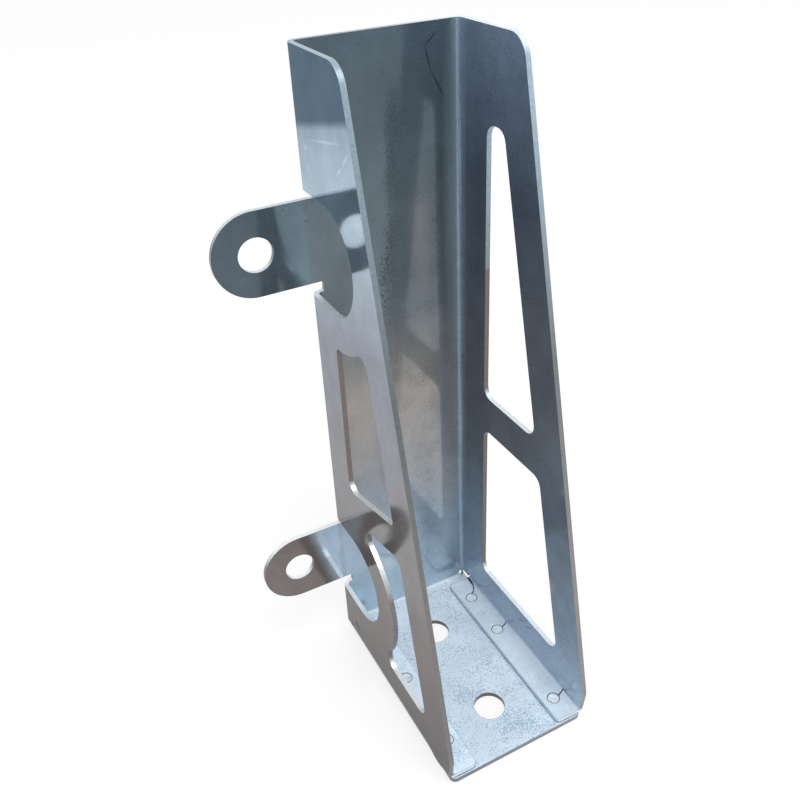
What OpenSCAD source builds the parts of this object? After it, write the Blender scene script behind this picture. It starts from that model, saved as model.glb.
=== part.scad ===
// Mounting bracket folded from one sheet of steel: a tall channel with tapered, windowed flanges,
// a drilled foot under two lapped tabs, and two drilled ears that stand out from the left side.
// Units are millimetres. The origin is on the underside of the foot, midway between its two bolts.
// X runs across the channel, the open side faces -Y, and the foot stands on Z = 0.

/* [Sheet] */
// Thickness of the sheet
sheet_t = 2; // [1.5:0.1:2.5]
// Inside radius of every bend
bend_r = 1.8; // [1.2:0.1:2.4]

/* [Channel] */
// Width over the two flanges
channel_w = 65; // [58:1:80]
// Height over all
channel_h = 262; // [250:1:320]
// Depth of the flanges at the top, to the sharp corner
top_depth = 40.4; // [38:0.2:48]
// Depth of the flanges at the toe, to the sharp corner
toe_depth = 96.9; // [94:0.1:110]
// Height at which the flanges are deepest
toe_h = 14; // [11:0.5:18]
// Radius of the flanges' top corners
top_corner_r = 9; // [4:0.5:12]
// Radius of the flanges' toe corners
toe_corner_r = 10; // [4:0.5:14]

/* [Foot] */
// Depth of the floor from the back face
floor_depth = 96.5; // [94:0.1:110]
// How far the floor's sides stop short of the flanges' outer faces
floor_inset = 1.5; // [0.8:0.1:2.5]
// Radius of the floor's front corners
floor_corner_r = 2.5; // [0.5:0.1:4]
// Diameter of the bolt holes in the floor
floor_hole_d = 13; // [9:0.5:16]
// Distance from the back face to the rear bolt hole
floor_hole_rear = 28; // [22:0.5:34]
// Distance between the two floor holes
floor_hole_pitch = 46.5; // [40:0.5:54]

/* [Tabs] */
// Width of the tabs from the flange's outer face
tab_w = 13.1; // [12:0.1:17]
// Distance from the back face to the rear edge of the tabs
tab_rear = 8.2; // [7.5:0.1:11]
// How far the tabs stop short of the floor's front edge
tab_setback = 0.7; // [0.3:0.1:2]
// Radius of the tabs' free corners
tab_corner_r = 2; // [1:0.1:4]
// Gap left between floor and tabs by the fold
lap_gap = 0.2; // [0.05:0.01:0.3]

/* [Windows] */
// Width of the rail left along the slanted front edge
rail_w = 16.4; // [13:0.1:19]
// Distance from the back face to the windows' rear edges
window_back = 20.3; // [20.2:0.1:22]
// Height of the top of the right flange's upper window
window_top = 230; // [215:1:235]
// Height of the bottom of the left flange's lower window
window_bottom = 19.2; // [16:0.2:24]
// Height of the bottom of the right flange's lower window
level_bottom = 21; // [16:0.5:26]
// Corner radius of the windows
window_r = 5; // [3:0.1:5.2]
// Radius of the left upper window's two tighter corners
tight_r = 2.5; // [1:0.1:3.5]
// Height of the middle of the right flange's level brace
level_brace_z = 109.8; // [95:0.1:125]
// Width of the level brace
level_brace_w = 16.5; // [12:0.5:22]
// Height at which the left flange's slanted brace would meet the back face
slant_brace_z = 81.5; // [80:0.5:90]
// Slope of the slanted brace
slant_angle = 15.5; // [12:0.5:20]
// Width of the slanted brace, and of the webs left around the ears' cut-outs
web_w = 13.7; // [11:0.1:14.5]

/* [Ears] */
// Height of each ear, which ends in a half round
ear_h = 32; // [26:0.5:34]
// Distance from the flange's outer face to the ear's hole
ear_reach = 19.2; // [16:0.2:24]
// Height of the lower ear's hole
ear_low_z = 46.5; // [42:0.5:49]
// Distance between the two ears' holes
ear_pitch = 147.5; // [135:0.5:150]
// Gap cut above and below each ear in the flat sheet
ear_gap = 4; // [2:0.1:4.2]
// Gap cut at each ear's tip in the flat sheet
ear_tip_gap = 1.3; // [0.6:0.1:2.5]
// Diameter of the bolt holes in the ears
ear_hole_d = 13; // [9:0.5:16]
// Radius at the end of the slots beside each ear
slot_end_r = 1; // [0.5:0.1:1.8]

/* [Rivets] */
// Diameter of the rivets' shank
rivet_d = 4.8; // [4:0.1:5]
// Diameter of the countersunk head in the floor
rivet_head_d = 8; // [7:0.1:8.2]
// Diameter of the set end on the tab
rivet_set_d = 5.2; // [5.1:0.1:5.8]
// Depth of the set end
rivet_set_depth = 0.7; // [0.4:0.1:1]
// How far the set end stands above the tab
rivet_proud = 0.1; // [0:0.05:0.2]
// Clearance around a rivet in its hole
rivet_play = 0.1; // [0.05:0.01:0.2]
// Distance from the flange's outer face to the rivets
rivet_inset = 8; // [7.8:0.1:8.6]
// Distances from the back face to the right tab's rivets
right_rivets = [20.5, 43, 86]; // [18:0.5:88]
// Distances from the back face to the left tab's rivets
left_rivets = [24, 46, 81]; // [18:0.5:88]

/* [Reliefs] */
// Height of the open corner below the back bends
corner_h = 4.7; // [4.2:0.1:5.4]
// Diameter of the relief where the three bends meet
corner_relief_d = 2.2; // [1.4:0.1:2.8]
// Angle around the floor's bend at which that relief sits
corner_relief_angle = 60; // [40:5:75]
// Diameter of the relief at the rear end of each tab's bend
bend_relief_d = 2; // [1:0.1:3]
// Width of the laser's lead-in cuts to the rivet holes
lead_in_w = 0.4; // [0.2:0.05:0.6]
// Length of the short lead-in cuts
lead_in_l = 3.4; // [2:0.1:4]
// Direction of the lead-in cuts, from square across the tab
lead_in_angle = 22; // [0:1:40]
// Where the long rear lead-in leaves its hole, as an angle from square across the tab
rear_lead_in_start = 57; // [30:1:90]
// Distance from the start of the tab's bend to the far end of the rear lead-in
rear_lead_in_end = 1.4; // [0.8:0.1:1.6]

/* [Hidden] */
$fn = 72;

CUT = 1;                                        // overrun of every cutter past the sheet
LAP = 0.002;                                    // extra radius that makes arcs cross their edges
curve_steps = 6;                                // straight stretches in a curved cut
bend_ro = bend_r + sheet_t;
side_x = channel_w / 2;                         // outer face of the right flange
flat_x = side_x - bend_ro;                      // where the flat of the back ends in a bend
floor_x = side_x - floor_inset;
tab_z = sheet_t + lap_gap;                      // underside of the tabs
wall_z = tab_z + bend_ro;                       // lower end of the flat flanges
tab_front = floor_depth - tab_setback;
front_slope = (toe_depth - top_depth) / (channel_h - toe_h);
rail_y = rail_w * sqrt(1 + front_slope * front_slope);
rail_down = unit([front_slope, -1]);            // along the slanted front edge, in (depth, height)
rail_inward = unit([-1, -front_slope]);

// Shortening of the sheet at a right-angled bend, neutral line at 0.4 of the thickness.
bend_deduction = 2 * bend_ro - PI / 2 * (bend_r + 0.4 * sheet_t);
ear_r = ear_h / 2;
ear_x = -side_x - ear_reach;
ear_zs = [ear_low_z, ear_low_z + ear_pitch];
cutout_r = ear_r + ear_gap;
cutout_depth = ear_reach + bend_deduction + ear_r + ear_tip_gap - cutout_r;
web_r = cutout_r + web_w;                       // the webs are concentric with the cut-outs

floor_holes = [floor_hole_rear, floor_hole_rear + floor_hole_pitch];
back_y = floor_hole_rear + floor_hole_pitch / 2; // the back face, from which depths are taken
rivet_x = side_x - rivet_inset;
rivet_top = tab_z + sheet_t + rivet_proud;
head_depth = (rivet_head_d - rivet_d) / 2;      // a 90 degree countersink

// Depth of the slanted front edge, and of the windows' front edges, at height z.
function front_at(z) = top_depth + front_slope * (channel_h - z);
function rail_at(z) = front_at(z) - rail_y;

// Point where a line through (0, z0) that rises at an angle meets the windows' front edge.
function rail_meet(z0, angle) =
    let (u = (rail_at(z0)) / (1 + front_slope * tan(angle))) [u, z0 + u * tan(angle)];

// Rounding of a corner between the directions to its two neighbours.
function unit(v) = v / norm(v);
function half_angle(p, c, n) = acos(unit(p - c) * unit(n - c)) / 2;
function tangent(p, c, n, r) = c + unit(p - c) * r / tan(half_angle(p, c, n));
function round_centre(p, c, n, r) =
    c + unit(unit(p - c) + unit(n - c)) * r / sin(half_angle(p, c, n));

// Direction at an angle from +X, and the place at t on the cubic curve of four control points.
function direction(angle) = [cos(angle), sin(angle)];
function on_curve(p, t) =
    let (s = 1 - t) s * s * s * p[0] + 3 * s * s * t * p[1] + 3 * s * t * t * p[2] + t * t * t * p[3];

// Convex polygon with its own exact radius at each corner; 0 leaves the corner sharp.
module rounded_polygon(points, radii) {
    last = len(points) - 1;
    before = function (i) points[i == 0 ? last : i - 1];
    after = function (i) points[i == last ? 0 : i + 1];
    polygon([for (i = [0:last]) each radii[i] == 0 ? [points[i]] : [
        tangent(before(i), points[i], after(i), radii[i]),
        tangent(after(i), points[i], before(i), radii[i])
    ]]);
    for (i = [0:last]) if (radii[i] > 0)
        translate(round_centre(before(i), points[i], after(i), radii[i]))
            circle(radii[i] + LAP);
}

// Centre of a circle of radius r that touches a straight edge and the circle of a web from outside.
// The edge starts at p and runs in direction d away from the web, and n points into the window.
function web_centre(c, p, d, n, r) =
    let (w = p + n * r - c, s = w * d)
    p + n * r + d * (sqrt(s * s - w * w + pow(web_r + r, 2)) - s);

// Window corner between an edge and a web: the edge's end, the corner's centre, the web's start.
function web_corner(c, p, d, n, r) =
    let (f = web_centre(c, p, d, n, r)) [f - n * r, f, c + (f - c) * web_r / (web_r + r)];

// Stands an outline of (depth, height) up in a flange, between two X planes.
module upright(x_low, x_high) {
    translate([x_high, 0, 0]) rotate([90, 0, -90]) linear_extrude(x_high - x_low) children();
}

// Quarter of a bent strip about the Z axis, between +X and +Y.
module bend(length) {
    linear_extrude(length) intersection() {
        difference() {
            circle(bend_ro);
            circle(bend_r);
        }
        square(bend_ro);
    }
}

// Flat part of a flange, with the tapered front edge.
module flange_outline() {
    rounded_polygon(
        [[bend_ro, corner_h], [bend_ro, channel_h], [top_depth, channel_h],
         [toe_depth, toe_h], [tab_front, wall_z], [tab_rear, wall_z], [tab_rear, corner_h]],
        [0, 0, top_corner_r, toe_corner_r, 0, 0, 0]);
}

// Windows of the right flange, above and below a level brace.
module level_windows() {
    brace_top = level_brace_z + level_brace_w / 2;
    brace_bottom = level_brace_z - level_brace_w / 2;
    for (ends = [[level_bottom, brace_bottom], [brace_top, window_top]])
        rounded_polygon(
            [[window_back, ends[0]], [window_back, ends[1]],
             [rail_at(ends[1]), ends[1]], [rail_at(ends[0]), ends[0]]],
            [window_r, window_r, window_r, window_r]);
}

// Windows of the left flange, on both sides of a slanted brace, each with a web around a cut-out.
module slanted_windows() {
    rise = tan(slant_angle);
    half_w = web_w / 2 / cos(slant_angle);
    upper_z = slant_brace_z + half_w;
    lower_z = slant_brace_z - half_w;
    low = [cutout_depth, ear_zs[0]];
    high = [cutout_depth, ear_zs[1]];

    rear_top = web_corner(high, [window_back, high.y], [0, -1], [1, 0], tight_r);
    front_top = web_corner(high, [rail_at(high.y), high.y], rail_down, rail_inward, window_r);
    window_by_web(high, rear_top, front_top, [tight_r, window_r],
        [rail_meet(upper_z, slant_angle), [window_back, upper_z + window_back * rise]],
        [tight_r, window_r]);

    tip = web_corner(low, [0, lower_z], [cos(slant_angle), sin(slant_angle)],
                     [sin(slant_angle), -cos(slant_angle)], window_r);
    heel = web_corner(low, [0, window_bottom], [1, 0], [0, 1], window_r);
    window_by_web(low, heel, tip, [window_r, window_r],
        [rail_meet(lower_z, slant_angle), [rail_at(window_bottom), window_bottom]],
        [window_r, window_r]);
}

// Window with a web of centre c along one side, between two web corners, and two plain corners.
module window_by_web(c, first, second, web_radii, corners, radii) {
    difference() {
        union() {
            rounded_polygon(
                [first[0], first[1], first[2], second[2], second[1], second[0], each corners],
                [0, 0, 0, 0, 0, 0, each radii]);
            translate(first[1]) circle(web_radii[0] + LAP);
            translate(second[1]) circle(web_radii[1] + LAP);
        }
        translate(c) circle(web_r, $fn = 120);
    }
}

// Outline cut from the left flange around an ear before the sheet is folded.
module ear_cutout(z) {
    translate([cutout_depth, z]) circle(cutout_r, $fn = 120);
    translate([-CUT, z - cutout_r]) square([cutout_depth + CUT, 2 * cutout_r]);
}

// Flange on the +X side with its bend to the back plate.
module plain_flange() {
    upright(side_x - sheet_t, side_x) flange_outline();
    translate([flat_x, -bend_ro, corner_h]) bend(channel_h - corner_h);
}

// Outline of a tab lapped on the floor, from the flange's bend inwards.
module tab_outline() {
    inner_x = side_x - tab_w;
    rounded_polygon(
        [[flat_x, -tab_rear], [inner_x, -tab_rear], [inner_x, -tab_front], [flat_x, -tab_front]],
        [0, tab_corner_r, tab_corner_r, 0]);
}

// Tab and its bend, below the flange on the +X side.
module tab() {
    translate([0, 0, tab_z]) linear_extrude(sheet_t) tab_outline();
    translate([flat_x, -tab_rear, wall_z])
        rotate([90, 0, 0]) mirror([0, 1, 0]) bend(tab_front - tab_rear);
}

// Laser's lead-in cuts to the rivet holes, which stay open through the tab and its bend. The rear
// one sweeps round in a long curve to the relief at the end of the bend.
module lead_ins(depths) {
    start = [rivet_x, -depths[0]] + direction(rear_lead_in_start) * rivet_set_d / 2;
    end = [flat_x + rear_lead_in_end, -tab_rear + bend_relief_d / 2];
    sweep = [start, start + direction(lead_in_angle) * lead_in_l, end - [0, 2 * lead_in_l], end];
    curve = [for (i = [0:curve_steps]) on_curve(sweep, i / curve_steps)];
    translate([0, 0, sheet_t + lap_gap / 2]) linear_extrude(bend_ro + sheet_t) {
        for (i = [0:len(curve) - 2]) kerf(curve[i], curve[i + 1]);
        for (i = [1:len(depths) - 1])
            translate([rivet_x + rivet_set_d / 2, -depths[i]]) rotate(lead_in_angle)
                kerf([-lead_in_w / 2, 0], [lead_in_l, 0]);
    }
}

// One straight stretch of a laser cut with its round ends.
module kerf(a, b) {
    for (p = [a, b]) translate(p) circle(lead_in_w / 2 + LAP, $fn = 16);
    translate(a) rotate(atan2(b.y - a.y, b.x - a.x))
        translate([0, -lead_in_w / 2]) square([norm(b - a), lead_in_w]);
}

// Reliefs at the lower rear corner on the +X side.
module corner_reliefs() {
    translate([flat_x + bend_r / 2, -bend_ro, bend_ro])
        rotate([180 + corner_relief_angle, 0, 0]) cylinder(d = corner_relief_d, h = bend_ro + CUT);
    translate([flat_x, -tab_rear, corner_h + 0.4 * bend_relief_d])
        rotate([0, 90, 0]) cylinder(d = bend_relief_d, h = bend_ro + CUT);
}

// Flange, tab and reliefs that both sides share, without windows.
module side(rivet_depths) {
    difference() {
        union() {
            plain_flange();
            tab();
        }
        corner_reliefs();
        lead_ins(rivet_depths);
    }
}

// Back plate with the two ears, which stay unbent.
module back_plate() {
    translate([-flat_x, -sheet_t, bend_ro])
        cube([2 * flat_x, sheet_t, channel_h - bend_ro]);
    for (z = ear_zs) translate([0, 0, z]) rotate([90, 0, 0]) linear_extrude(sheet_t) {
        translate([ear_x, 0]) circle(ear_r, $fn = 120);
        translate([ear_x, -ear_r]) square([-flat_x - ear_x, ear_h]);
    }
}

// Ends of the slots above and below each ear.
module slot_ends() {
    for (z = ear_zs, side = [-1, 1])
        translate([0, CUT, z + side * (ear_r + ear_gap / 2)]) rotate([90, 0, 0])
            linear_extrude(sheet_t + 2 * CUT) rounded_polygon(
                [[-side_x, -ear_gap / 2], [-flat_x + slot_end_r, -ear_gap / 2],
                 [-flat_x + slot_end_r, ear_gap / 2], [-side_x, ear_gap / 2]],
                [0, slot_end_r, slot_end_r, 0]);
}

// Floor with its bend up to the back plate.
module floor_plate() {
    linear_extrude(sheet_t) rounded_polygon(
        [[-floor_x, -bend_ro], [-floor_x, -floor_depth],
         [floor_x, -floor_depth], [floor_x, -bend_ro]],
        [0, floor_corner_r, floor_corner_r, 0]);
    translate([-floor_x, -bend_ro, bend_ro]) rotate([0, 90, 0]) bend(2 * floor_x);
}

// Puts a child at every rivet.
module at_rivets() {
    for (depth = right_rivets) translate([rivet_x, -depth, 0]) children();
    for (depth = left_rivets) translate([-rivet_x, -depth, 0]) children();
}

// Rivet with a countersunk head and a set end; play widens it into its hole.
module rivet(play, over) {
    head_r = rivet_head_d / 2 + play;
    set_r = rivet_set_d / 2 + play;
    shank_r = rivet_d / 2 + play;
    cylinder(r1 = head_r, r2 = shank_r, h = head_depth);
    cylinder(r = shank_r, h = rivet_top);
    translate([0, 0, rivet_top - rivet_proud - rivet_set_depth]) {
        cylinder(r1 = shank_r, r2 = set_r, h = rivet_set_depth);
        translate([0, 0, rivet_set_depth]) cylinder(r = set_r, h = rivet_proud + over);
    }
    translate([0, 0, -over]) cylinder(r = head_r, h = over);
}

module folded_sheet() {
    color("#9fb0bd") translate([0, back_y, 0]) difference() {
        union() {
            back_plate();
            floor_plate();
            difference() {
                side(right_rivets);
                upright(side_x - sheet_t - CUT, side_x + CUT) level_windows();
            }
            difference() {
                mirror([1, 0, 0]) side(left_rivets);
                upright(-side_x - CUT, -side_x + sheet_t + CUT) slanted_windows();
                for (z = ear_zs) upright(-side_x - CUT, -flat_x) ear_cutout(z);
            }
        }
        slot_ends();
        for (side = [0, 1]) mirror([side, 0, 0]) corner_reliefs();
        for (depth = floor_holes) translate([0, -depth, -CUT])
            cylinder(d = floor_hole_d, h = sheet_t + 2 * CUT);
        for (z = ear_zs) translate([ear_x, CUT, z]) rotate([90, 0, 0])
            cylinder(d = ear_hole_d, h = sheet_t + 2 * CUT);
        at_rivets() rivet(rivet_play, CUT);
    }
}

module rivets() {
    color("#c3d2de") translate([0, back_y, 0]) at_rivets() rivet(0, 0);
}

folded_sheet();
rivets();
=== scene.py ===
import math
from types import SimpleNamespace

import bmesh
import bpy
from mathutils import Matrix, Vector
from mathutils.bvhtree import BVHTree


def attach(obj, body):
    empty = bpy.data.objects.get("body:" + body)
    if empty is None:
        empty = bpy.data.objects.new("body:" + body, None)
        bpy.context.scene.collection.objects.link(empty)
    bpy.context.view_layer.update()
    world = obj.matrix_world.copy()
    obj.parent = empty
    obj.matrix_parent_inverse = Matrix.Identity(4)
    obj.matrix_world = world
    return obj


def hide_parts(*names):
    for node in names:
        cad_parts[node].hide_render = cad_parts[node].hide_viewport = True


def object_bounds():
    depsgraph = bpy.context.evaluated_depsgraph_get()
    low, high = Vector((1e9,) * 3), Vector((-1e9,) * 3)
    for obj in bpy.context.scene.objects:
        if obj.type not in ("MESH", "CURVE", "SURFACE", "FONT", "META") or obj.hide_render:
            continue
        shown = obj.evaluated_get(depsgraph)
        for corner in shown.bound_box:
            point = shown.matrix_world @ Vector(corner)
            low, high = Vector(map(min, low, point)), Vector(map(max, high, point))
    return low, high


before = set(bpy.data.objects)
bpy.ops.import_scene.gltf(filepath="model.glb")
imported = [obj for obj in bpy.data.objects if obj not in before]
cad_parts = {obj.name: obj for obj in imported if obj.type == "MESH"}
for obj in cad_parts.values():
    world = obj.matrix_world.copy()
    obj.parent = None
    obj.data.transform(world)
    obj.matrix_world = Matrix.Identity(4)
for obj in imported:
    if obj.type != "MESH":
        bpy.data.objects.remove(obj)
cad_low, cad_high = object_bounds()

# Sizes of the bracket in metres, from the frame where it has them
MM = 0.001
FRONT, BACK = cad_low[1], cad_high[1]     # of the foot
HALF_WIDE = cad_high[0]                   # half the channel's width
TALL = cad_high[2]                        # height, which the tones are spread over
SHEET = 2.0 * MM                          # thickness of the sheet steel
TAB_GAP = 0.2 * MM                        # between the foot and the tabs that lap it
EAR_PITCH = 147.5 * MM                    # from ear hole to ear hole
EDGE = 0.16 * MM                          # how far the cut edges are rounded over

# Rivets in mm: their places on the foot as X and Y, and the sizes of one
RIVETS = [(24.5, 30.75), (24.5, 8.25), (24.5, -34.75), (-24.5, 27.25), (-24.5, 5.25), (-24.5, -29.75)]
RIVET = {"Head Radius": 4.0, "Head Depth": 1.6, "Shank Radius": 2.4, "Set Radius": 2.6, "Set Depth": 0.7,
         "Height": 4.3, "Rim": 0.45, "Dish": 0.28}
RIVET_SIDES = 40
TURN_SEED = 7                             # for the rivets' turns

# Tones of the bright zinc, from the foot (0) to the top (1). Besides the zinc's own tone they hold painted
# reflections of the room and painted light and shade
OUTSIDE_TONE = [(0.0, "#5f5751"), (0.15, "#7c716c"), (0.4, "#9a9797"), (0.65, "#979ca6"),
                (0.85, "#c2d5e3"), (0.938, "#a3b6c5"), (0.948, "#566d7e"), (1.0, "#566d7e")]
INSIDE_TONE = [(0.0, "#b6c8dd"), (0.15, "#8795a3"), (0.35, "#6d757e"), (0.55, "#686f7a"),
               (0.8, "#5c6878"), (1.0, "#8092a9")]
PLATE_TONE = [(0.0, "#b4c9d9"), (0.15, "#a6b7c4"), (0.3, "#9c9da0"), (0.45, "#98948f"),
              (0.6, "#666f76"), (0.8, "#59676f"), (1.0, "#4d5c67")]
EAR_TONE = [(0.15, "#76706e"), (0.25, "#716b69"), (0.65, "#535f68"), (0.8, "#4d5962")]
EAR_ROOT_TONE = [(0.15, "#aebcc9"), (0.25, "#aebcc9"), (0.65, "#657680"), (0.8, "#5f707a")]
BORDER_CLIMB = 0.235                      # how steeply the outside's border of light climbs to the front
BELOW_BORDER = 0.7                        # a place in the tones that is well below that border
EAR_LEAN = 0.25                           # how far the border at an ear's root leans outwards

# Tones of the foot, from its front (0) to its back (1), painted lighter towards the back against the shade
# there, and of single things
FOOT_TONE = [(0.0, "#ccdde9"), (0.5, "#cedee9"), (1.0, "#e0ebf3")]
# Painted highlight along the upright bend on the side without ears
BEND_HIGHLIGHT_TONE = "#9db3c4"
FOOT_SPECK_TONE = "#6f8bab"
SPECK_TONE = "#242d37"
RIM_REFLECTION_TONE = "#43566a"                      # painted dark reflection where the foot's skin turns over a cut edge
GRAZING_TONE = "#cbced2"                  # keeps grazing reflections grey

# Grain of the surfaces: how wide one cloud, streak, speck or wave is
CLOUD = 15 * MM
STREAK = 6 * MM
SPECK = 0.6 * MM                          # coarser than the finest real specks, so that they show
SPECK_PATCH = 8 * MM
BLOT = 0.9 * MM
WAVE = 30 * MM
CUT_GRAIN = 0.8 * MM                      # coarser than the real 0.3 mm, so that it shows
RIVET_CLOUD = 1.4 * MM

# Faces of the sheet that marks lie on, in mm
PLATE = (BACK - SHEET) / MM               # Y of the back plate's inner face
EARED = -HALF_WIDE / MM                   # X of the outer face of the flange with ears
PLAIN = (HALF_WIDE - SHEET) / MM          # X of the inner face of the flange without ears
FOOT = SHEET / MM                         # Z of the foot's top
TAB = (2 * SHEET + TAB_GAP) / MM          # Z of the tabs' tops

# Spots in mm: middle, half-length along X, Y and Z, and for some a turn in degrees about X, Y and Z.
# Water has run and stood in these, and specks gather there.
RUN_MARKS = [((2.7, PLATE, 218), (4.5, 1, 30), (0, 3, 0)), ((-1.2, PLATE, 178), (5, 1, 36), (0, 7, 0)),
             ((23.5, PLATE, 190), (4.5, 1, 70)), ((-6, PLATE, 130), (5, 1, 25), (0, 10, 0)),
             ((-5, -14, FOOT), (9, 14, 1), (0, 0, 20)), ((6, -36, FOOT), (16, 10, 1)),
             ((24, 20, TAB), (3, 3, 1)), ((-23, -36, TAB), (7, 8, 1)), ((EARED, 37, 10.8), (1, 6, 4))]
# Each kind of mark, painted reflection and painted light has its tone, how deep in a spot it is full, its
# greatest strength, and its spots.
MARKS_AND_PAINTED_LIGHT = [
    # Painted shade: soft dark reflections on the back plate
    ("#3a454f", 1.0, 0.3, [((18.3, PLATE, 195), (5, 1, 65)), ((4, PLATE, 240), (12, 1, 20)),
                           ((13, PLATE, 50), (9, 1, 52)), ((25, PLATE, 12), (8, 1, 26))]),
    # Painted light: soft light reflections on the back plate
    ("#a9bccb", 1.0, 0.3, [((26.5, PLATE, 195), (4, 1, 75)), ((-16, PLATE, 6), (22, 1, 18)),
                           ((-29, PLATE, 50), (6, 1, 30))]),
    # A painted blue reflection beside the upright bend
    ("#3f6080", 1.0, 0.4, [((23, PLATE, 112), (9, 1, 48))]),
    # Painted light on the middles of the tabs
    ("#e6f1fa", 1.0, 0.5, [((-24, -3, TAB), (14, 26, 2)), ((25, -8, TAB), (14, 26, 2))]),
    # A painted warm reflection of a window on the back plate
    ("#8f7d74", 0.8, 0.2, [((13, PLATE, 186), (6, 1, 32))]),
    # Dark scratches and dents, with dirt in them
    ("#1d252e", 0.6, 0.7, [((19.1, PLATE, 256.1), (0.45, 1, 3.8), (0, 50, 0)),
                           ((18.0, PLATE, 250.0), (0.45, 1, 6), (0, -14, 0)),
                           ((21.5, PLATE, 241.2), (0.45, 1, 7), (0, -28, 0)),
                           ((PLAIN, -1.3, 16.2), (1, 0.45, 4), (62, 0, 0)),
                           ((PLAIN, -7.0, 16.8), (1, 0.4, 3.5), (58, 0, 0)),
                           ((EARED, 37.5, 11), (1, 2.4, 1.6)),
                           ((EARED, 32.5, 7.5), (1, 1.6, 0.5), (-30, 0, 0))]),
    # Bright scratch marks where the zinc is freshly rubbed, with a painted glint on them
    ("#edf4fa", 0.6, 0.3, [((EARED, 25, 236.2), (1, 15, 0.6), (-11, 0, 0)),
                           ((EARED, 41.2, 230.3), (1, 1.8, 1.2)),
                           ((EARED, 10, 234.4), (1, 4, 0.7), (-45, 0, 0)),
                           ((EARED, 15.5, 229.3), (1, 3.5, 0.7), (-40, 0, 0))])]

# Tones of the cut edges, from the foot (0) to the top (1), with painted reflections in them, warm low down
# and blue-grey high up, and of those that differ
EDGE_TONE = [(0.0, "#757679"), (0.3, "#757371"), (0.6, "#60676b"), (0.75, "#77828a"), (1.0, "#90a4b2")]
# Painted highlights where the cut edges face up, and on the side without ears
EDGE_UP_HIGHLIGHT_TONE = [(0.0, "#eef1f4"), (0.3, "#e3e8ec"), (0.8, "#c5cfd6"), (0.95, "#93a6b1")]
EDGE_UP_RIGHT_HIGHLIGHT_TONE = "#d5e2ea"
# Painted brownish reflection on the rear sides of the windows
WINDOW_REAR_REFLECTION_TONE = "#6f6762"
# Painted dark reflection in the rolled-over rims low down
ROLLED_RIM_REFLECTION_TONE = "#4f6276"
# Painted highlight along the top of the back plate, from the side of the ears (0) to the other (1)
BACK_TOP_HIGHLIGHT_TONE = [(0.03, "#8093a1"), (0.5, "#95a7b4"), (0.75, "#b4c3ce"), (0.95, "#d5e2ea")]
# Boxes in mm, as their two corners
WINDOW_REARS = ((-33, 5, 8), (33, 40, 175))
BACK_TOP = ((-30, 48, 255), (30, 52, 263))
EDGE_PATCHES = [((-12, -44, -0.1), (12, 50, 2.05), "#6b5a55"),         # brown walls of the bolt holes
                ((-31, -46, 2.15), (31, -44.3, 4.3), "#d3dee8"),       # front ends of the tabs, painted pale as painted light
                ((-23, -44.3, 2.15), (23, 50, 4.3), "#cbdbe9"),        # long sides of the tabs, painted pale as painted light
                ((-31, -46, 2.1), (31, 50, 2.6), "#3c4a58")]           # painted shade as a dark seam under the tabs

# Tones of a rivet, from its cloud's dark parts to its light ones, and of its rim, which is painted shade
RIVET_TONE = [(0.35, "#bccdda"), (0.5, "#dde8f0"), (0.7, "#eff5f9")]
RIVET_RIM_SHADE_TONE = "#54677b"

# The room, in metres, and the camera
FLOOR_TONE = "#f2f2f2"
FLOOR_REACH = 6.0
FLOOR_DROP = 0.2 * MM                     # below the foot, so that the two don't lie in one plane
FLOOR_WHITE = 0.75                        # how much of plain white the camera and the metal see in it
LAMP_PLACE, LAMP_TARGET = (0.05, -0.6, 1.5), (0, 0, 0.1)
LAMP_SIZE, LAMP_WATTS = 0.7, 12.0
CAMERA_PLACE = (-0.132129, -0.221583, 0.316214)
CAMERA_TURN = (57.78817, 2.32146, -27.92741)          # degrees about X, Y and Z
CAMERA_LENS, CAMERA_SENSOR = 39.138, 36.0             # mm
CAMERA_SHIFT = (-0.003588, -0.02737)
CAMERA_CLIP = (0.02, 50.0)

# Sockets of a Mix node of two colours, by number because its other sockets have the same names
SHARE, FIRST, SECOND = 0, 6, 7
# What most of a noise lies between
NOISE_LOW, NOISE_HIGH = 0.3, 0.7
# The narrow step from one half of the bracket to the other
LEFT_HALF, RIGHT_HALF = -1 * MM, 1 * MM


def colour(hex_code):
    """An sRGB hex colour as the linear values that the shader works in."""
    out = []
    for i in (1, 3, 5):
        c = int(hex_code[i:i + 2], 16) / 255
        out.append(c / 12.92 if c <= 0.04045 else ((c + 0.055) / 1.055) ** 2.4)
    return (*out, 1.0)


def feed(tree, node, inputs):
    """Sets a node's inputs by name or number. A value is a plain one, a socket, or a node, which gives the
    first of its outputs that is in use."""
    for key, value in inputs.items():
        if isinstance(value, bpy.types.Node):
            value = next(output for output in value.outputs if output.enabled)
        if isinstance(value, bpy.types.NodeSocket):
            tree.links.new(value, node.inputs[key])
        else:
            node.inputs[key].default_value = value


def add(tree, kind, inputs=None, stops=None, **settings):
    """One node, with its settings, its inputs and, for a colour ramp, its stops as (place, hex)."""
    made = tree.nodes.new(kind)
    for key, value in settings.items():
        setattr(made, key, value)
    if stops:
        line = made.color_ramp.elements
        while len(line) > 1:
            line.remove(line[-1])
        line[0].position = stops[0][0]
        line[0].color = colour(stops[0][1])
        for place, code in stops[1:]:
            line.new(place).color = colour(code)
    feed(tree, made, inputs or {})
    return made


def marked(tree, where, spots):
    """How deep each point lies in one of the spots: 1 in a spot's middle, 0 outside them all."""
    found = None
    for middle, half, *turned in spots:
        turn = turned[0] if turned else (0, 0, 0)
        at = add(tree, "ShaderNodeMapping", {"Vector": where, "Location": [v * MM for v in middle],
                                             "Rotation": [math.radians(v) for v in turn],
                                             "Scale": [v * MM for v in half]}, vector_type="TEXTURE")
        spot = add(tree, "ShaderNodeTexGradient", {0: at}, gradient_type="SPHERICAL").outputs["Fac"]
        found = spot if found is None else add(tree, "ShaderNodeMath", {0: found, 1: spot},
                                               operation="MAXIMUM")
    return found


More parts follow.
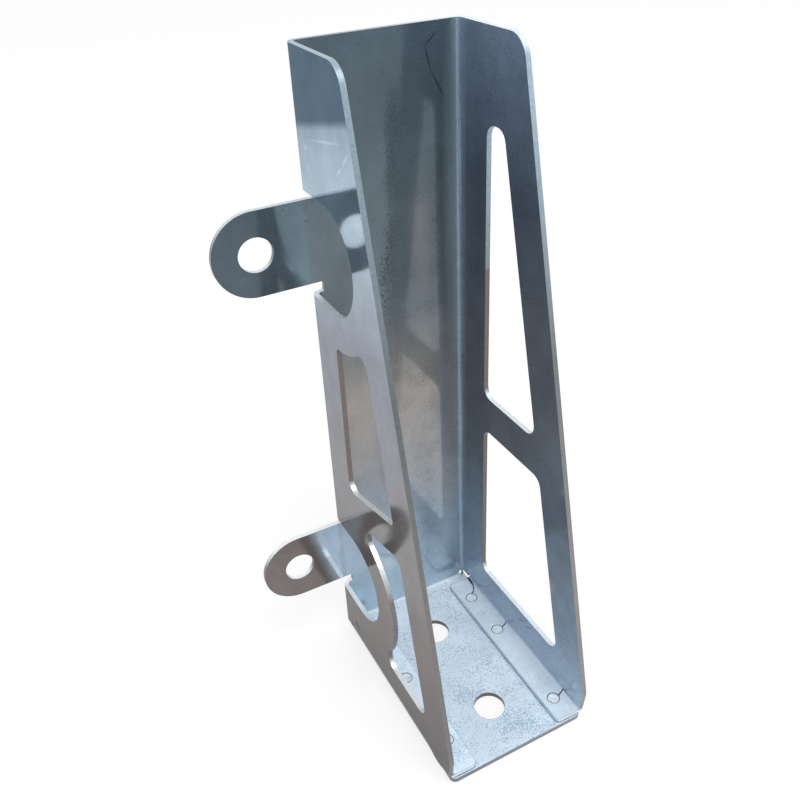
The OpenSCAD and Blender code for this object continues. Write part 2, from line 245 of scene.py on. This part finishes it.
def within(tree, where, low_corner, high_corner):
    """1 inside the box between two corners in mm, 0 outside it."""
    middle = [(a + b) / 2 * MM for a, b in zip(low_corner, high_corner)]
    half = [(b - a) / 2 * MM for a, b in zip(low_corner, high_corner)]
    at = add(tree, "ShaderNodeMapping", {"Vector": where, "Location": middle, "Scale": half},
             vector_type="TEXTURE")
    off = add(tree, "ShaderNodeVectorMath", {0: at}, operation="ABSOLUTE")
    off = add(tree, "ShaderNodeSeparateXYZ", {0: off}).outputs
    far = add(tree, "ShaderNodeMath", {0: off["X"], 1: off["Y"]}, operation="MAXIMUM")
    far = add(tree, "ShaderNodeMath", {0: far, 1: off["Z"]}, operation="MAXIMUM")
    return add(tree, "ShaderNodeMath", {0: far, 1: 1.0}, operation="LESS_THAN")


def new_material(name):
    """A material and its empty node tree."""
    mat = bpy.data.materials.new(name)
    mat.use_nodes = True
    mat.node_tree.nodes.clear()
    return mat, mat.node_tree


def places_on_sheet(tree):
    """Where a point of the sheet is, how high and how far back as shares from 0 to 1, and what it faces."""
    where = add(tree, "ShaderNodeTexCoord")
    place = add(tree, "ShaderNodeSeparateXYZ", {0: where.outputs["Object"]}).outputs
    facing = add(tree, "ShaderNodeSeparateXYZ", {0: where.outputs["Normal"]}).outputs
    on = SimpleNamespace(spot=where.outputs["Object"], x=place["X"], y=place["Y"], z=place["Z"],
                         facing=facing)
    on.height = add(tree, "ShaderNodeMapRange", {"Value": on.z, "From Min": 0.0, "From Max": TALL})
    on.depth = add(tree, "ShaderNodeMapRange", {"Value": on.y, "From Min": FRONT, "From Max": BACK})
    return on


def parts_of_sheet(tree, on):
    """Adds to the places, as shares from 0 to 1, which part of the sheet a point is on."""
    ear_start, ear_full = -30 * MM, -33 * MM
    tab_start = 3 * MM
    bend_start, bend_full = (26 * MM, 44 * MM), (29.2 * MM, 48 * MM)
    away = add(tree, "ShaderNodeMath", {0: on.facing["X"], 1: on.x}, operation="MULTIPLY")
    on.outside = add(tree, "ShaderNodeMath", {0: away, 1: 0.0}, operation="GREATER_THAN")
    on.level = add(tree, "ShaderNodeMapRange", {"Value": on.facing["Z"], "From Min": 0.2, "From Max": 0.9})
    on.plate = add(tree, "ShaderNodeMath", {0: on.facing["Y"], 1: 2.0}, operation="POWER")
    beyond = add(tree, "ShaderNodeMapRange", {"Value": on.x, "From Min": ear_start, "From Max": ear_full})
    on.ear = add(tree, "ShaderNodeMath", {0: on.plate, 1: beyond}, operation="MULTIPLY")
    above_foot = add(tree, "ShaderNodeMath", {0: on.z, 1: tab_start}, operation="GREATER_THAN")
    on.tab = add(tree, "ShaderNodeMath", {0: above_foot, 1: on.level}, operation="MULTIPLY")
    # The upright bend on the side without ears
    near = [add(tree, "ShaderNodeMapRange", {"Value": along, "From Min": start, "From Max": full},
                interpolation_type="SMOOTHSTEP")
            for along, start, full in zip((on.x, on.y), bend_start, bend_full)]
    on.bend = add(tree, "ShaderNodeMath", {0: near[0], 1: near[1]}, operation="MULTIPLY")


def side_tones(tree, on):
    """The tone of each side of the sheet, from the foot to the top, with the painted reflections, light and
    shade that it holds.
    """
    root_start, root_full = -32.5 * MM, -26 * MM
    bend_share = 0.45                       # of the bend's painted highlight
    eared_lift = 1.18                       # painted light on the tab on the side of the ears
    plain_lifts = (1.0, 0.94)               # painted light and shade on the other tab, at its front and its back
    # The border of light on the outside climbs towards the front. It is only on the flange with ears.
    climb = add(tree, "ShaderNodeMath", {0: on.y, 1: BORDER_CLIMB, 2: on.z}, operation="MULTIPLY_ADD")
    climbed = add(tree, "ShaderNodeMapRange", {"Value": climb, "From Min": 0.0, "From Max": TALL})
    ceiling = add(tree, "ShaderNodeMapRange", {"Value": on.x, "From Min": LEFT_HALF, "From Max": RIGHT_HALF,
                                               "To Min": 1.0, "To Max": BELOW_BORDER})
    climbed = add(tree, "ShaderNodeMath", {0: climbed, 1: ceiling}, operation="MINIMUM")
    # The ears' roots are painted lighter, as a painted reflection, up to a border that leans outwards as it
    # climbs each ear.
    up_ear = add(tree, "ShaderNodeMath", {0: on.z, 1: EAR_PITCH}, operation="MODULO")
    leaning = add(tree, "ShaderNodeMath", {0: up_ear, 1: EAR_LEAN, 2: on.x}, operation="MULTIPLY_ADD")
    root = add(tree, "ShaderNodeMapRange", {"Value": leaning, "From Min": root_start, "From Max": root_full},
               interpolation_type="SMOOTHSTEP")
    ear_root = add(tree, "ShaderNodeMath", {0: on.ear, 1: root}, operation="MULTIPLY")

    tone = add(tree, "ShaderNodeValToRGB", {0: on.height}, INSIDE_TONE)
    for share, along, stops in [(on.outside, climbed, OUTSIDE_TONE), (on.plate, on.height, PLATE_TONE),
                                (on.ear, on.height, EAR_TONE), (ear_root, on.height, EAR_ROOT_TONE),
                                (on.level, on.depth, FOOT_TONE)]:
        side = add(tree, "ShaderNodeValToRGB", {0: along}, stops)
        tone = add(tree, "ShaderNodeMix", {SHARE: share, FIRST: tone, SECOND: side}, data_type="RGBA")

    # A painted highlight along the upright bend
    lit = add(tree, "ShaderNodeMapRange", {"Value": on.bend, "To Max": bend_share})
    tone = add(tree, "ShaderNodeMix", {SHARE: lit, FIRST: tone, SECOND: colour(BEND_HIGHLIGHT_TONE)}, data_type="RGBA")
    # Painted light and shade: the tab on the side of the ears is lighter, and the other one darkens a little
    # towards the back.
    by_side = add(tree, "ShaderNodeMapRange", {"Value": on.depth, "To Min": plain_lifts[0],
                                               "To Max": plain_lifts[1]})
    by_side = add(tree, "ShaderNodeMapRange", {"Value": on.x, "From Min": LEFT_HALF, "From Max": RIGHT_HALF,
                                               "To Min": eared_lift, "To Max": by_side})
    lift = add(tree, "ShaderNodeMapRange", {"Value": on.tab, "To Min": 1.0, "To Max": by_side})
    return add(tree, "ShaderNodeVectorMath", {0: tone, "Scale": lift}, operation="SCALE")


def zinc_clouds(tree, on, tone):
    """Shades the tone with soft clouds in the zinc and with upright streaks where the outside is rubbed."""
    cloud_shades = (0.90, 1.10)
    streak_shade, streak_draw = 0.25, (1, 1, 0.3)
    cloud = add(tree, "ShaderNodeTexNoise", {0: on.spot, "Scale": 1 / CLOUD, "Detail": 5.0,
                                             "Roughness": 0.6})
    shade = add(tree, "ShaderNodeMapRange", {"Value": cloud, "From Min": NOISE_LOW, "From Max": NOISE_HIGH,
                                             "To Min": cloud_shades[0], "To Max": cloud_shades[1]})
    tone = add(tree, "ShaderNodeVectorMath", {0: tone, "Scale": shade}, operation="SCALE")

    drawn = add(tree, "ShaderNodeMapping", {"Vector": on.spot, "Scale": streak_draw})
    streak = add(tree, "ShaderNodeTexNoise", {0: drawn, "Scale": 1 / STREAK, "Detail": 4.0,
                                              "Roughness": 0.65})
    rubbed = add(tree, "ShaderNodeMapRange", {"Value": on.outside, "To Max": streak_shade})
    shade = add(tree, "ShaderNodeMath", {0: streak, 1: -0.5}, operation="ADD")
    shade = add(tree, "ShaderNodeMath", {0: shade, 1: rubbed, 2: 1.0}, operation="MULTIPLY_ADD")
    return add(tree, "ShaderNodeVectorMath", {0: tone, "Scale": shade}, operation="SCALE"), cloud


def zinc_specks(tree, on, tone):
    """Puts fine grey specks on the tone, gathered in patches and in the run marks."""
    # What patches, run marks and tabs add to the noise, where in it a speck starts and is full, and how
    # strong one is
    by_patch, by_run, by_run_on_foot, by_tab = 0.35, 0.28, 0.12, -0.02
    speck_start, speck_full = 0.72, 0.81
    strong_inside, strong_outside, strong_on_foot = 0.38, 0.08, 0.65
    # The same for blots, which gather in the run marks too and hardly show on the foot
    blot_by_run, blot_start, blot_full = 0.26, 0.65, 0.76
    blot_upright, blot_on_foot = 0.55, 0.15

    speck = add(tree, "ShaderNodeTexNoise", {0: on.spot, "Scale": 1 / SPECK, "Detail": 3.0,
                                             "Roughness": 0.6})
    patch = add(tree, "ShaderNodeTexNoise", {0: on.spot, "Scale": 1 / SPECK_PATCH, "Detail": 3.0})
    runs = marked(tree, on.spot, RUN_MARKS)
    gathered = add(tree, "ShaderNodeMath", {0: patch, 1: by_patch, 2: speck}, operation="MULTIPLY_ADD")
    pull = add(tree, "ShaderNodeMapRange", {"Value": on.level, "To Min": by_run, "To Max": by_run_on_foot})
    gathered = add(tree, "ShaderNodeMath", {0: on.tab, 1: by_tab, 2: gathered}, operation="MULTIPLY_ADD")
    gathered = add(tree, "ShaderNodeMath", {0: runs, 1: pull, 2: gathered}, operation="MULTIPLY_ADD")
    dark = add(tree, "ShaderNodeMapRange", {"Value": gathered, "From Min": speck_start,
                                            "From Max": speck_full})
    strength = add(tree, "ShaderNodeMapRange", {"Value": on.outside, "To Min": strong_inside,
                                                "To Max": strong_outside})
    strength = add(tree, "ShaderNodeMapRange", {"Value": on.level, "To Min": strength,
                                                "To Max": strong_on_foot})
    specks = add(tree, "ShaderNodeMath", {0: dark, 1: strength}, operation="MULTIPLY")
    blot = add(tree, "ShaderNodeTexNoise", {0: on.spot, "Scale": 1 / BLOT, "Detail": 2.0})
    blots = add(tree, "ShaderNodeMath", {0: runs, 1: blot_by_run, 2: blot}, operation="MULTIPLY_ADD")
    most = add(tree, "ShaderNodeMapRange", {"Value": on.level, "To Min": blot_upright,
                                            "To Max": blot_on_foot})
    blots = add(tree, "ShaderNodeMapRange", {"Value": blots, "From Min": blot_start, "From Max": blot_full,
                                             "To Max": most})
    specks = add(tree, "ShaderNodeMath", {0: specks, 1: blots}, operation="MAXIMUM")
    # On the foot a speck is a paler blue-grey than on the upright sides.
    dirt = add(tree, "ShaderNodeMix", {SHARE: on.level, FIRST: colour(SPECK_TONE),
                                       SECOND: colour(FOOT_SPECK_TONE)}, data_type="RGBA")
    tone = add(tree, "ShaderNodeMix", {SHARE: specks, FIRST: tone, SECOND: dirt}, data_type="RGBA")
    return tone, speck, specks


def rims_marks_and_painted_light(tree, on, tone):
    """Puts a painted dark line along the cut edges of the foot and tabs, for the dark reflection in the rim
    that the punch has turned over, and then the marks of use and the painted reflections, light and shade."""
    rim_wide, rim_most = 0.45 * MM, 0.7
    rim_start, rim_full = 0.995, 0.92       # how far the rounded surface still agrees with the flat one
    # A painted dark reflection along the turned-over rims of the foot and tabs
    surface = add(tree, "ShaderNodeNewGeometry")
    rounded = add(tree, "ShaderNodeBevel", {0: rim_wide}, samples=8)
    along = add(tree, "ShaderNodeVectorMath", {0: rounded, 1: surface.outputs["Normal"]},
                operation="DOT_PRODUCT")
    turned = add(tree, "ShaderNodeMapRange", {"Value": along, "From Min": rim_start,
                                              "From Max": rim_full, "To Max": rim_most})
    rim = add(tree, "ShaderNodeMath", {0: turned, 1: on.level}, operation="MULTIPLY")
    tone = add(tree, "ShaderNodeMix", {SHARE: rim, FIRST: tone, SECOND: colour(RIM_REFLECTION_TONE)},
               data_type="RGBA")
    for code, full, most, spots in MARKS_AND_PAINTED_LIGHT:
        mark = add(tree, "ShaderNodeMapRange", {"Value": marked(tree, on.spot, spots), "From Max": full,
                                                "To Max": most})
        tone = add(tree, "ShaderNodeMix", {SHARE: mark, FIRST: tone, SECOND: colour(code)},
                   data_type="RGBA")
    return tone


def galvanised_skin():
    """Bright galvanised sheet, rolled smooth. The eye sees a blue-grey mirror on the outside, a duller one
    inside, and a pale, nearly matt foot, with fine grey specks where water has stood and run. Much of its
    tone is painted reflection, light and shade."""
    mat, tree = new_material("galvanised_sheet_rolled")
    on = places_on_sheet(tree)
    parts_of_sheet(tree, on)
    tone = side_tones(tree, on)
    tone, cloud = zinc_clouds(tree, on, tone)
    tone, speck, specks = zinc_specks(tree, on, tone)
    tone = rims_marks_and_painted_light(tree, on, tone)

    # Share of mirror: nearly full outside, less inside, little on the foot, where the zinc has gone dull.
    mirror = add(tree, "ShaderNodeMapRange", {"Value": on.height, "To Min": 0.75, "To Max": 0.95})
    mirror = add(tree, "ShaderNodeMapRange", {"Value": on.outside, "To Min": 0.4, "To Max": mirror})
    for part, share in [(on.plate, 0.4), (on.ear, 0.55), (on.level, 0.1)]:
        mirror = add(tree, "ShaderNodeMapRange", {"Value": part, "To Min": mirror, "To Max": share})

    # A clean mirror has roughness 0.07 to 0.12. Specks, the bend and the dull foot are rougher.
    rough = add(tree, "ShaderNodeMapRange", {"Value": cloud, "From Min": NOISE_LOW, "From Max": NOISE_HIGH,
                                             "To Min": 0.07, "To Max": 0.12})
    rough = add(tree, "ShaderNodeMapRange", {"Value": specks, "From Max": 0.5, "To Min": rough,
                                             "To Max": 0.3})
    for part, share in [(on.bend, 0.3), (on.level, 0.42)]:
        rough = add(tree, "ShaderNodeMapRange", {"Value": part, "To Min": rough, "To Max": share})

    # The sheet itself is a little wavy, and the specks stand 0.01 mm proud.
    wave = add(tree, "ShaderNodeTexNoise", {0: on.spot, "Scale": 1 / WAVE, "Detail": 1.0})
    waved = add(tree, "ShaderNodeBump", {"Strength": 0.5, "Distance": 0.15 * MM, "Height": wave})
    dented = add(tree, "ShaderNodeBump", {"Strength": 0.3, "Distance": 0.01 * MM, "Height": speck,
                                          "Normal": waved})
    metal = add(tree, "ShaderNodeBsdfPrincipled", {"Base Color": tone, "Metallic": mirror,
                                                   "Roughness": rough, "Normal": dented,
                                                   "Specular Tint": colour(GRAZING_TONE)})
    add(tree, "ShaderNodeOutputMaterial", {"Surface": metal})
    return mat


def edge_tones(tree, on):
    """The tone of a cut edge, with painted reflections, highlights and shade in it: by its height and side,
    by the way that it faces, and by where it is.
    """
    left, right, right_lift = -32 * MM, 32 * MM, 1.36
    rims_below = 5.5 * MM
    # How far an edge has to face the front or up: where its tone starts to change, and where it has changed
    front_start, front_full = -0.85, -0.97
    up_start, up_full = 0.35, 0.8
    rim_start, rim_full = 0.15, 0.5

    across = add(tree, "ShaderNodeMapRange", {"Value": on.x, "From Min": left, "From Max": right})
    side = add(tree, "ShaderNodeValToRGB", {0: on.height}, EDGE_TONE)
    lift = add(tree, "ShaderNodeMapRange", {"Value": across, "To Min": 1.0, "To Max": right_lift})
    side = add(tree, "ShaderNodeVectorMath", {0: side, "Scale": lift}, operation="SCALE")
    # The rear sides of the windows, which face the front, get a painted brownish reflection.
    facing_front = add(tree, "ShaderNodeMapRange", {"Value": on.facing["Y"], "From Min": front_start,
                                                    "From Max": front_full})
    window_rear = add(tree, "ShaderNodeMath", {0: facing_front, 1: within(tree, on.spot, *WINDOW_REARS)},
                      operation="MULTIPLY")
    side = add(tree, "ShaderNodeMix", {SHARE: window_rear, FIRST: side, SECOND: colour(WINDOW_REAR_REFLECTION_TONE)},
               data_type="RGBA")
    # Painted highlight where the edge faces up, whiter on the side without ears
    up = add(tree, "ShaderNodeValToRGB", {0: on.height}, EDGE_UP_HIGHLIGHT_TONE)
    up = add(tree, "ShaderNodeMix", {SHARE: across, FIRST: up, SECOND: colour(EDGE_UP_RIGHT_HIGHLIGHT_TONE)},
             data_type="RGBA")
    level = add(tree, "ShaderNodeMapRange", {"Value": on.facing["Z"], "From Min": up_start,
                                             "From Max": up_full})
    tone = add(tree, "ShaderNodeMix", {SHARE: level, FIRST: side, SECOND: up}, data_type="RGBA")
    # Along the top, the painted highlight on the back plate's edge fades towards the ears.
    back_top = add(tree, "ShaderNodeValToRGB", {0: across}, BACK_TOP_HIGHLIGHT_TONE)
    tone = add(tree, "ShaderNodeMix", {SHARE: within(tree, on.spot, *BACK_TOP), FIRST: tone,
                                       SECOND: back_top}, data_type="RGBA")
    for low_corner, high_corner, code in EDGE_PATCHES:
        inside = within(tree, on.spot, low_corner, high_corner)
        tone = add(tree, "ShaderNodeMix", {SHARE: inside, FIRST: tone, SECOND: colour(code)},
                   data_type="RGBA")
    # The rolled-over rims low down, on the foot and tabs, are dark lines of painted reflection.
    low = add(tree, "ShaderNodeMath", {0: on.z, 1: rims_below}, operation="LESS_THAN")
    rim = add(tree, "ShaderNodeMapRange", {"Value": on.facing["Z"], "From Min": rim_start,
                                           "From Max": rim_full})
    rim = add(tree, "ShaderNodeMath", {0: low, 1: rim}, operation="MULTIPLY")
    return add(tree, "ShaderNodeMix", {SHARE: rim, FIRST: tone, SECOND: colour(ROLLED_RIM_REFLECTION_TONE)},
               data_type="RGBA")


def sheared_edge():
    """Laser-cut and punched edge of the sheet. The eye sees a half-matt line, with painted reflections
    blue-grey high up and warmer low down, a painted highlight where it faces up, and painted shade as a dark
    seam under the tabs."""
    mat, tree = new_material("cut_sheet_edge")
    on = places_on_sheet(tree)
    tone = edge_tones(tree, on)
    # A fine grain that the cut leaves
    grain = add(tree, "ShaderNodeTexNoise", {0: on.spot, "Scale": 1 / CUT_GRAIN, "Detail": 3.0,
                                             "Roughness": 0.7})
    shade = add(tree, "ShaderNodeMapRange", {"Value": grain, "From Min": NOISE_LOW, "From Max": NOISE_HIGH,
                                             "To Min": 0.82, "To Max": 1.14})
    tone = add(tree, "ShaderNodeVectorMath", {0: tone, "Scale": shade}, operation="SCALE")
    dented = add(tree, "ShaderNodeBump", {"Strength": 0.4, "Distance": 0.03 * MM, "Height": grain})
    metal = add(tree, "ShaderNodeBsdfPrincipled", {"Base Color": tone, "Metallic": 0.6, "Roughness": 0.35,
                                                   "Normal": dented})
    add(tree, "ShaderNodeOutputMaterial", {"Surface": metal})
    return mat


def plated_rivet():
    """Cold-headed steel rivet, zinc plated. The eye sees a pale dished disc with a rim darkened by painted
    shade and a faint cloud."""
    mat, tree = new_material("zinc_plated_rivet")
    where = add(tree, "ShaderNodeTexCoord").outputs
    facing = add(tree, "ShaderNodeSeparateXYZ", {0: where["Normal"]}).outputs
    cloud = add(tree, "ShaderNodeTexNoise", {0: where["Object"], "Scale": 1 / RIVET_CLOUD, "Detail": 3.0})
    face = add(tree, "ShaderNodeValToRGB", {0: cloud}, RIVET_TONE)
    # Painted shade on the rivet's sloping rim
    rim = add(tree, "ShaderNodeMapRange", {"Value": facing["Z"], "From Min": 0.95, "From Max": 0.6})
    tone = add(tree, "ShaderNodeMix", {SHARE: rim, FIRST: face, SECOND: colour(RIVET_RIM_SHADE_TONE)},
               data_type="RGBA")
    dented = add(tree, "ShaderNodeBump", {"Strength": 0.4, "Distance": 0.05 * MM, "Height": cloud})
    metal = add(tree, "ShaderNodeBsdfPrincipled", {"Base Color": tone, "Metallic": 0.1, "Roughness": 0.35,
                                                   "Normal": dented})
    add(tree, "ShaderNodeOutputMaterial", {"Surface": metal})
    return mat


def put(name, data):
    """A new object in the scene."""
    made = bpy.data.objects.new(name, data)
    bpy.context.scene.collection.objects.link(made)
    return made


def merged_copy(name, node):
    """A copy of a CAD node's mesh with its split vertices joined and its flat areas made whole."""
    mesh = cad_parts[node].data.copy()
    mesh.name = name
    mesh.materials.clear()
    work = bmesh.new()
    work.from_mesh(mesh)
    bmesh.ops.remove_doubles(work, verts=work.verts, dist=1e-6)
    bmesh.ops.dissolve_limit(work, angle_limit=math.radians(0.5), verts=work.verts, edges=work.edges)
    work.to_mesh(mesh)
    work.free()
    return put(name, mesh)


def sort_faces(piece):
    """Gives slot 0 to the faces that have one sheet thickness under them and slot 1 to the cut edges."""
    start, reach, tolerance = 0.02 * MM, 50 * MM, 0.12 * MM
    work = bmesh.new()
    work.from_mesh(piece.data)
    tree = BVHTree.FromBMesh(work)
    widest = {}
    for loops in work.calc_loop_triangles():
        corners = [loop.vert.co for loop in loops]
        area = (corners[1] - corners[0]).cross(corners[2] - corners[0]).length
        face = loops[0].face
        if area > widest.get(face, (0.0, None))[0]:
            widest[face] = (area, sum(corners, Vector()) / 3)
    for face in work.faces:
        face.normal_update()
        inward = -face.normal
        depth = tree.ray_cast(widest[face][1] + inward * start, inward, reach)[3] or 1.0
        face.material_index = 0 if abs(depth + start - SHEET) < tolerance else 1
    work.to_mesh(piece.data)
    work.free()


def finished(piece):
    """Applies what the modifiers make, with nothing live left on the piece."""
    view = bpy.context.evaluated_depsgraph_get()
    view.update()
    mesh = bpy.data.meshes.new_from_object(piece.evaluated_get(view), preserve_all_data_layers=True,
                                           depsgraph=view)
    piece.modifiers.clear()
    piece.data = mesh


def folded_sheet(skin, edge):
    """The bracket's one folded sheet, with its cut edges rounded over."""
    sheet = merged_copy("folded_bracket", "folded_sheet")
    sheet.data.materials.append(skin)
    sheet.data.materials.append(edge)
    sort_faces(sheet)
    for polygon in sheet.data.polygons:
        polygon.use_smooth = True
    broken = sheet.modifiers.new("broken_edges", "BEVEL")
    broken.width = EDGE
    broken.segments = 2
    broken.limit_method = "ANGLE"
    broken.angle_limit = math.radians(40)
    broken.use_clamp_overlap = True
    broken.material = 1
    even = sheet.modifiers.new("even_shading", "WEIGHTED_NORMAL")
    even.weight = 50
    even.keep_sharp = True
    finished(sheet)
    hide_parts("folded_sheet")
    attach(sheet, "root")


def rivet_rings(tree, size):
    """The radius and the height of each ring of a rivet, from its countersunk head below, up its shank, round
    the set tail's rim and into the dish."""
    shoulder_in = 0.3                       # share of the rim's width that its rounded shoulder is in by
    wall_at, wall_deep, mid_at = 0.8, 0.7, 0.35      # the dish's wall and middle, as shares of crown and dish
    under_rim = add(tree, "ShaderNodeMath", {0: size["Height"], 1: size["Rim"]}, operation="SUBTRACT")
    set_foot = add(tree, "ShaderNodeMath", {0: under_rim, 1: size["Set Depth"]}, operation="SUBTRACT")
    shoulder_z = add(tree, "ShaderNodeMath", {0: size["Rim"], 1: -shoulder_in, 2: size["Height"]},
                     operation="MULTIPLY_ADD")
    shoulder = add(tree, "ShaderNodeMath", {0: size["Rim"], 1: -shoulder_in, 2: size["Set Radius"]},
                   operation="MULTIPLY_ADD")
    crown = add(tree, "ShaderNodeMath", {0: size["Set Radius"], 1: size["Rim"]}, operation="SUBTRACT")
    dish_wall = add(tree, "ShaderNodeMath", {0: crown, 1: wall_at}, operation="MULTIPLY")
    dish_wall_z = add(tree, "ShaderNodeMath", {0: size["Dish"], 1: -wall_deep, 2: size["Height"]},
                      operation="MULTIPLY_ADD")
    dish_mid = add(tree, "ShaderNodeMath", {0: crown, 1: mid_at}, operation="MULTIPLY")
    dish_mid_z = add(tree, "ShaderNodeMath", {0: size["Height"], 1: size["Dish"]}, operation="SUBTRACT")
    return [(size["Head Radius"], None), (size["Shank Radius"], size["Head Depth"]),
            (size["Shank Radius"], set_foot), (size["Set Radius"], under_rim), (shoulder, shoulder_z),
            (crown, size["Height"]), (dish_wall, dish_wall_z), (dish_mid, dish_mid_z)]


def rivet_tree():
    """Geometry nodes that stand one set rivet on every point."""
    tree = bpy.data.node_groups.new("set_rivets", "GeometryNodeTree")
    tree.interface.new_socket("Geometry", in_out="INPUT", socket_type="NodeSocketGeometry")
    for name in RIVET:
        tree.interface.new_socket(name, in_out="INPUT", socket_type="NodeSocketFloat")
    tree.interface.new_socket("Sides", in_out="INPUT", socket_type="NodeSocketInt")
    tree.interface.new_socket("Metal", in_out="INPUT", socket_type="NodeSocketMaterial")
    tree.interface.new_socket("Geometry", in_out="OUTPUT", socket_type="NodeSocketGeometry")
    size = add(tree, "NodeGroupInput").outputs

    # A plain tube, one unit high, whose rings are then moved to their places.
    rings = rivet_rings(tree, size)
    steps = len(rings) - 1
    tube = add(tree, "GeometryNodeMeshCylinder", {"Vertices": size["Sides"], "Side Segments": steps,
                                                  "Radius": 1.0, "Depth": 1.0})
    place = add(tree, "GeometryNodeInputPosition")
    place = add(tree, "ShaderNodeSeparateXYZ", {0: place}).outputs
    from_foot = add(tree, "ShaderNodeMath", {0: place["Z"], 1: 0.5}, operation="ADD")
    count = add(tree, "ShaderNodeMath", {0: from_foot, 1: float(steps)}, operation="MULTIPLY")
    ring = add(tree, "ShaderNodeMath", {0: count}, operation="ROUND")
    radius = add(tree, "GeometryNodeIndexSwitch", {0: ring}, data_type="FLOAT")
    rise = add(tree, "GeometryNodeIndexSwitch", {0: ring}, data_type="FLOAT")
    for switch, column in ((radius, 0), (rise, 1)):
        while len(switch.index_switch_items) < len(rings):
            switch.index_switch_items.new()
        feed(tree, switch, {i + 1: sizes[column] for i, sizes in enumerate(rings)
                            if sizes[column] is not None})
    wide = add(tree, "ShaderNodeMath", {0: place["X"], 1: radius}, operation="MULTIPLY")
    deep = add(tree, "ShaderNodeMath", {0: place["Y"], 1: radius}, operation="MULTIPLY")
    moved = add(tree, "ShaderNodeCombineXYZ", {0: wide, 1: deep, 2: rise})
    shape = add(tree, "GeometryNodeSetPosition", {0: tube, "Position": moved})

    turn = add(tree, "FunctionNodeRandomValue", {0: (0, 0, 0), 1: (0, 0, math.tau), "Seed": TURN_SEED},
               data_type="FLOAT_VECTOR")
    stand = add(tree, "GeometryNodeInstanceOnPoints", {"Points": size["Geometry"], "Instance": shape,
                                                       "Rotation": turn})
    real = add(tree, "GeometryNodeRealizeInstances", {0: stand})
    smooth = add(tree, "GeometryNodeSetShadeSmooth", {"Geometry": real})
    plated = add(tree, "GeometryNodeSetMaterial", {0: smooth, "Material": size["Metal"]})
    add(tree, "NodeGroupOutput", {0: plated})
    return tree


def rivets(metal):
    """The six rivets that hold the tabs down on the foot."""
    mesh = bpy.data.meshes.new("bracket_rivets")
    mesh.from_pydata([(x * MM, y * MM, 0) for x, y in RIVETS], [], [])
    piece = put("bracket_rivets", mesh)
    tree = rivet_tree()
    setting = piece.modifiers.new("set_rivets", "NODES")
    setting.node_group = tree
    sockets = {item.name: item.identifier for item in tree.interface.items_tree
               if item.item_type == "SOCKET" and item.in_out == "INPUT"}
    for name, size in RIVET.items():
        setting[sockets[name]] = size * MM
    setting[sockets["Sides"]] = RIVET_SIDES
    setting[sockets["Metal"]] = metal
    finished(piece)
    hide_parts("rivets")
    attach(piece, "root")


def white_floor():
    """A pale studio floor that the camera and the metal see as nearly white, and that keeps the shadow."""
    mat, tree = new_material("studio_floor")
    matt = add(tree, "ShaderNodeBsdfDiffuse", {0: colour(FLOOR_TONE)})
    white = add(tree, "ShaderNodeEmission", {0: colour("#ffffff"), 1: 1.0})
    ray = add(tree, "ShaderNodeLightPath").outputs
    seen = add(tree, "ShaderNodeMath", {0: ray["Is Camera Ray"], 1: ray["Is Glossy Ray"]},
               operation="MAXIMUM")
    seen = add(tree, "ShaderNodeMath", {0: seen, 1: ray["Is Transmission Ray"]}, operation="MAXIMUM")
    share = add(tree, "ShaderNodeMath", {0: seen, 1: FLOOR_WHITE}, operation="MULTIPLY")
    blend = add(tree, "ShaderNodeMixShader", {0: share, 1: matt, 2: white})
    add(tree, "ShaderNodeOutputMaterial", {"Surface": blend})
    mesh = bpy.data.meshes.new("studio_floor")
    r = FLOOR_REACH
    mesh.from_pydata([(-r, -r, 0), (r, -r, 0), (r, r, 0), (-r, r, 0)], [], [(0, 1, 2, 3)])
    mesh.materials.append(mat)
    floor = put("studio_floor", mesh)
    floor.location.z = -FLOOR_DROP


def white_room():
    """A plain white room all round, with one soft square lamp overhead."""
    world = bpy.data.worlds.new("soft_room")
    bpy.context.scene.world = world
    world.use_nodes = True
    tree = world.node_tree
    tree.nodes.clear()
    sky = add(tree, "ShaderNodeBackground", {0: colour("#ffffff"), 1: 1.0})
    add(tree, "ShaderNodeOutputWorld", {"Surface": sky})
    light = bpy.data.lights.new("overhead_softbox", "AREA")
    light.size = LAMP_SIZE
    light.energy = LAMP_WATTS
    lamp = put("overhead_softbox", light)
    lamp.location = LAMP_PLACE
    lamp.rotation_euler = (Vector(LAMP_TARGET) - Vector(LAMP_PLACE)).to_track_quat("-Z", "Y").to_euler()


def photo_camera():
    """The camera, at the place and angle that the bracket is seen from."""
    data = bpy.data.cameras.new("photo_camera")
    data.lens = CAMERA_LENS
    data.sensor_width = CAMERA_SENSOR
    data.shift_x, data.shift_y = CAMERA_SHIFT
    data.clip_start, data.clip_end = CAMERA_CLIP
    camera = put("photo_camera", data)
    camera.location = CAMERA_PLACE
    camera.rotation_euler = [math.radians(v) for v in CAMERA_TURN]
    return camera


skin, edge, rivet_metal = galvanised_skin(), sheared_edge(), plated_rivet()
folded_sheet(skin, edge)
rivets(rivet_metal)
white_floor()
white_room()
bpy.context.scene.camera = photo_camera()
bpy.context.scene.view_settings.view_transform = "Standard"
